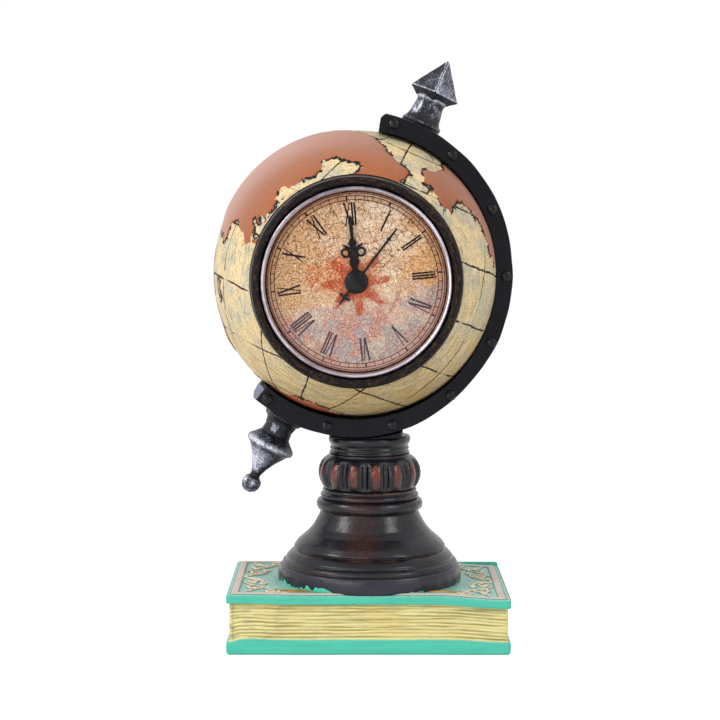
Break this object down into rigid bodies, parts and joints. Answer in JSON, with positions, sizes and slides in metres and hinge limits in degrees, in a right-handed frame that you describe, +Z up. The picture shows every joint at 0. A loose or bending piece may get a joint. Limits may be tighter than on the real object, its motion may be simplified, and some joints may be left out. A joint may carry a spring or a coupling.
{
  "type": "globe clock",
  "caption": "Desk clock: a round quartz insert in the front of a hollow globe, held by a riveted arc on a turned pedestal over a closed book.",
  "frame": {"origin": "middle of the felt pad's underside, where the clock rests on a table", "axes": "+Z up, -Y to the front (the dial), +X to the viewer's right"},
  "size_m": [0.114, 0.099, 0.2227],
  "materials": {
    "felt": "matte felt",
    "book_cover": "satin painted resin",
    "book_pages": "matte painted resin with darker lines",
    "cover_trim": "dry-brushed paint",
    "dark_paint": "satin dark paint rubbed with red-brown",
    "arc_paint": "satin black paint",
    "globe_paint": "hand painted, matte",
    "silver_paint": "silver dry-brushed on black",
    "bronze_paint": "black paint streaked with bronze",
    "steel": "plain",
    "chrome": "polished",
    "lens": "clear",
    "dial_print": "aged, crackled print",
    "hand_black": "satin black",
    "black_plastic": "moulded",
    "white_plastic": "moulded",
    "rubber": "matte",
    "brass": "plain",
    "copper": "enamelled wire",
    "circuit": "solder mask"
  },
  "bodies": {
    "stand_and_globe": {"felt_pad": "felt", "book_lower_board": "book_cover", "book_page_block": "book_pages", "book_upper_board": "book_cover", "book_spine": "book_cover", "cover_border_left": "cover_trim", "cover_border_right": "cover_trim", "tie_bolt": "steel", "tie_bolt_washer": "steel", "pedestal_foot": "dark_paint", "pedestal_knop": "dark_paint", "pedestal_collar": "dark_paint", "saddle_block": "arc_paint", "meridian_arc": "arc_paint", "arc_rivet_1": "arc_paint", "arc_rivet_2": "arc_paint", "arc_rivet_3": "arc_paint", "arc_rivet_4": "arc_paint", "arc_rivet_5": "arc_paint", "arc_rivet_6": "arc_paint", "arc_rivet_7": "arc_paint", "arc_rivet_8": "arc_paint", "arc_rivet_9": "arc_paint", "globe_front_shell": "globe_paint", "globe_rear_shell": "globe_paint", "top_finial": "silver_paint", "bottom_finial": "silver_paint", "bezel_ring": "bronze_paint"},
    "clock_insert": {"insert_bezel": "chrome", "insert_lens": "lens", "dial_plate": "dial_print", "insert_case": "black_plastic", "grip_ring": "rubber", "back_cover": "black_plastic", "middle_plate": "white_plastic", "rear_plate": "white_plastic", "motor_stator": "steel", "coil_core": "steel", "motor_coil": "copper", "circuit_board": "circuit", "quartz_crystal": "steel", "button_cell": "steel", "cell_front_contact": "brass", "cell_side_contact": "brass"},
    "second_arbor": {"fourth_wheel": "white_plastic", "second_hand": "hand_black"},
    "third_arbor": {"third_wheel": "white_plastic"},
    "centre_arbor": {"centre_wheel": "brass"},
    "fifth_arbor": {"fifth_wheel": "white_plastic"},
    "rotor": {"motor_rotor": "black_plastic"},
    "minute_arbor": {"cannon_pinion": "brass", "minute_hand": "hand_black"},
    "hour_pipe": {"hour_wheel": "white_plastic", "hour_hand": "hand_black"},
    "motion_wheel": {"minute_wheel": "white_plastic"},
    "setting_knob": {"set_knob": "black_plastic"},
    "battery_door": {"battery_door": "black_plastic"}
  },
  "joints": [
    {"name": "insert_pull", "type": "slide", "parent": "stand_and_globe", "child": "clock_insert", "axis": [0, -1, 0], "range_m": [0, 0.03]},
    {"name": "second_turn", "type": "hinge", "parent": "clock_insert", "child": "second_arbor", "pos_m": [-0.0045, 0, 0.1397], "axis": [0, 1, 0], "continuous": true},
    {"name": "third_turn", "type": "hinge", "parent": "clock_insert", "child": "third_arbor", "pos_m": [-0.01042, 0, 0.148], "axis": [0, 1, 0], "continuous": true},
    {"name": "centre_turn", "type": "hinge", "parent": "clock_insert", "child": "centre_arbor", "pos_m": [-0.0045, 0, 0.1397], "axis": [0, 1, 0], "continuous": true},
    {"name": "fifth_turn", "type": "hinge", "parent": "clock_insert", "child": "fifth_arbor", "pos_m": [-0.00102, 0, 0.14734], "axis": [0, 1, 0], "continuous": true},
    {"name": "rotor_turn", "type": "hinge", "parent": "clock_insert", "child": "rotor", "pos_m": [0.00548, 0, 0.15044], "axis": [0, 1, 0], "continuous": true},
    {"name": "minute_turn", "type": "hinge", "parent": "clock_insert", "child": "minute_arbor", "pos_m": [-0.0045, 0, 0.1397], "axis": [0, 1, 0], "continuous": true},
    {"name": "hour_turn", "type": "hinge", "parent": "clock_insert", "child": "hour_pipe", "pos_m": [-0.0045, 0, 0.1397], "axis": [0, 1, 0], "continuous": true},
    {"name": "motion_turn", "type": "hinge", "parent": "clock_insert", "child": "motion_wheel", "pos_m": [-0.00358, 0, 0.13014], "axis": [0, 1, 0], "continuous": true},
    {"name": "knob_turn", "type": "hinge", "parent": "clock_insert", "child": "setting_knob", "pos_m": [-0.00266, 0, 0.12059], "axis": [0, 1, 0], "continuous": true},
    {"name": "door_turn", "type": "hinge", "parent": "clock_insert", "child": "battery_door", "pos_m": [-0.01587, 0, 0.13258], "axis": [0, 1, 0], "range_deg": [0, 30]}
  ],
  "couplings": [
    {"joint": "third_turn", "follows": "second_turn", "ratio": -0.13333},
    {"joint": "centre_turn", "follows": "second_turn", "ratio": 0.016667},
    {"joint": "fifth_turn", "follows": "second_turn", "ratio": -6},
    {"joint": "rotor_turn", "follows": "second_turn", "ratio": 30},
    {"joint": "motion_turn", "follows": "minute_turn", "ratio": -0.33333},
    {"joint": "hour_turn", "follows": "minute_turn", "ratio": 0.083333},
    {"joint": "knob_turn", "follows": "minute_turn", "ratio": 1}
  ]
}
